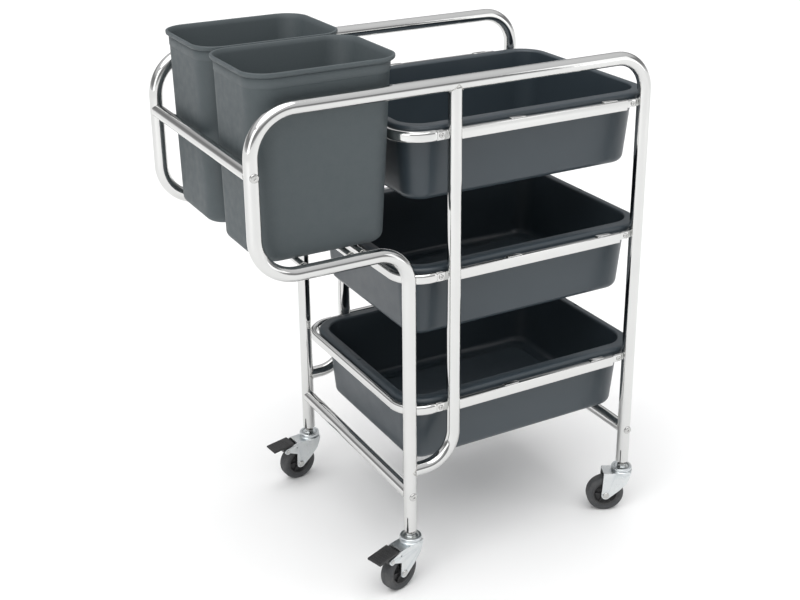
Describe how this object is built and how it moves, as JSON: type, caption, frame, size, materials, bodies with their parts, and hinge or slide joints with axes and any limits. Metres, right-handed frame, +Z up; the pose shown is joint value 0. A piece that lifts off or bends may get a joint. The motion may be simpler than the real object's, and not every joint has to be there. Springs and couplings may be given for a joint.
{
  "type": "rolling trolley",
  "caption": "Wheeled tube-frame trolley with open tubs stacked between its legs and tall waste bins held side by side in a loop at one end, on swivel casters with foot brakes.",
  "frame": {"origin": "on the floor, under the middle of the whole trolley", "axes": "+Z up, +X lengthwise towards the tub end, -X towards the bins, +Y across from the front side frame to the back one"},
  "size_m": [0.8215, 0.5214, 0.997],
  "materials": {
    "chrome": "polished chrome plate",
    "bright_steel": "plated steel screws",
    "zinc": "zinc-plated pressed steel",
    "tub_plastic": "semi-gloss slate polypropylene",
    "bin_plastic": "fine-textured matt slate polypropylene",
    "hub_plastic": "black nylon",
    "rubber": "dark grey rubber",
    "pedal_plastic": "black nylon",
    "insert_plastic": "black nylon sleeve"
  },
  "bodies": {
    "frame": {"side_frame_front": "chrome", "side_frame_back": "chrome", "mid_post_front": "chrome", "mid_post_back": "chrome", "guard_bar": "chrome", "cross_bar_bin_end": "chrome", "cross_bar_tub_end": "chrome", "bin_shelf_rods": "chrome", "end_rail_top": "chrome", "end_rail_middle": "chrome", "end_rail_bottom": "chrome", "side_bar_front_top": "chrome", "side_bar_front_middle": "chrome", "side_bar_front_bottom": "chrome", "side_bar_back_top": "chrome", "side_bar_back_middle": "chrome", "side_bar_back_bottom": "chrome", "rail_lugs": "chrome", "tub_clips": "chrome", "rail_screws": "bright_steel", "bar_screws": "bright_steel", "bar_plugs": "zinc", "leg_inserts": "insert_plastic", "caster_front_left_stem": "bright_steel", "caster_front_left_race": "zinc", "caster_back_left_stem": "bright_steel", "caster_back_left_race": "zinc", "caster_front_right_stem": "bright_steel", "caster_front_right_race": "zinc", "caster_back_right_stem": "bright_steel", "caster_back_right_race": "zinc"},
    "fork_front_left": {"caster_front_left_fork": "zinc", "caster_front_left_axle": "bright_steel", "caster_front_left_pedal_pin": "bright_steel"},
    "wheel_front_left": {"caster_front_left_hub": "hub_plastic", "caster_front_left_tyre": "rubber"},
    "pedal_front_left": {"caster_front_left_pedal": "pedal_plastic"},
    "fork_back_left": {"caster_back_left_fork": "zinc", "caster_back_left_axle": "bright_steel", "caster_back_left_pedal_pin": "bright_steel"},
    "wheel_back_left": {"caster_back_left_hub": "hub_plastic", "caster_back_left_tyre": "rubber"},
    "pedal_back_left": {"caster_back_left_pedal": "pedal_plastic"},
    "fork_front_right": {"caster_front_right_fork": "zinc", "caster_front_right_axle": "bright_steel"},
    "wheel_front_right": {"caster_front_right_hub": "hub_plastic", "caster_front_right_tyre": "rubber"},
    "fork_back_right": {"caster_back_right_fork": "zinc", "caster_back_right_axle": "bright_steel"},
    "wheel_back_right": {"caster_back_right_hub": "hub_plastic", "caster_back_right_tyre": "rubber"},
    "tub_top": {"tub_top": "tub_plastic"},
    "tub_middle": {"tub_middle": "tub_plastic"},
    "tub_bottom": {"tub_bottom": "tub_plastic"},
    "bin_front": {"bin_front": "bin_plastic"},
    "bin_back": {"bin_back": "bin_plastic"}
  },
  "joints": [
    {"name": "swivel_front_left", "type": "hinge", "parent": "frame", "child": "fork_front_left", "pos_m": [-0.12, -0.22, 0.09], "axis": [0, 0, 1], "continuous": true},
    {"name": "roll_front_left", "type": "hinge", "parent": "fork_front_left", "child": "wheel_front_left", "pos_m": [-0.15076, -0.22882, 0.0375], "axis": [-0.2756, 0.9613, 0], "continuous": true},
    {"name": "brake_front_left", "type": "hinge", "parent": "fork_front_left", "child": "pedal_front_left", "pos_m": [-0.1796, -0.23709, 0.0755], "axis": [0.2756, -0.9613, 0], "range_deg": [0, 20]},
    {"name": "swivel_back_left", "type": "hinge", "parent": "frame", "child": "fork_back_left", "pos_m": [-0.12, 0.22, 0.09], "axis": [0, 0, 1], "continuous": true},
    {"name": "roll_back_left", "type": "hinge", "parent": "fork_back_left", "child": "wheel_back_left", "pos_m": [-0.15182, 0.21665, 0.0375], "axis": [-0.1045, 0.9945, 0], "continuous": true},
    {"name": "brake_back_left", "type": "hinge", "parent": "fork_back_left", "child": "pedal_back_left", "pos_m": [-0.18166, 0.21352, 0.0755], "axis": [0.1045, -0.9945, 0], "range_deg": [0, 20]},
    {"name": "swivel_front_right", "type": "hinge", "parent": "frame", "child": "fork_front_right", "pos_m": [0.369, -0.22, 0.09], "axis": [0, 0, 1], "continuous": true},
    {"name": "roll_front_right", "type": "hinge", "parent": "fork_front_right", "child": "wheel_front_right", "pos_m": [0.34024, -0.20597, 0.0375], "axis": [0.4384, 0.8988, 0], "continuous": true},
    {"name": "swivel_back_right", "type": "hinge", "parent": "frame", "child": "fork_back_right", "pos_m": [0.369, 0.22, 0.09], "axis": [0, 0, 1], "continuous": true},
    {"name": "roll_back_right", "type": "hinge", "parent": "fork_back_right", "child": "wheel_back_right", "pos_m": [0.34024, 0.23403, 0.0375], "axis": [0.4384, 0.8988, 0], "continuous": true},
    {"name": "tub_top_out", "type": "slide", "parent": "frame", "child": "tub_top", "axis": [1, 0, 0], "range_m": [0, 0.4]},
    {"name": "tub_middle_out", "type": "slide", "parent": "frame", "child": "tub_middle", "axis": [1, 0, 0], "range_m": [0, 0.4]},
    {"name": "tub_bottom_out", "type": "slide", "parent": "frame", "child": "tub_bottom", "axis": [1, 0, 0], "range_m": [0, 0.4]},
    {"name": "bin_front_lift", "type": "slide", "parent": "frame", "child": "bin_front", "axis": [0, 0, 1], "range_m": [0, 0.3]},
    {"name": "bin_back_lift", "type": "slide", "parent": "frame", "child": "bin_back", "axis": [0, 0, 1], "range_m": [0, 0.3]}
  ]
}
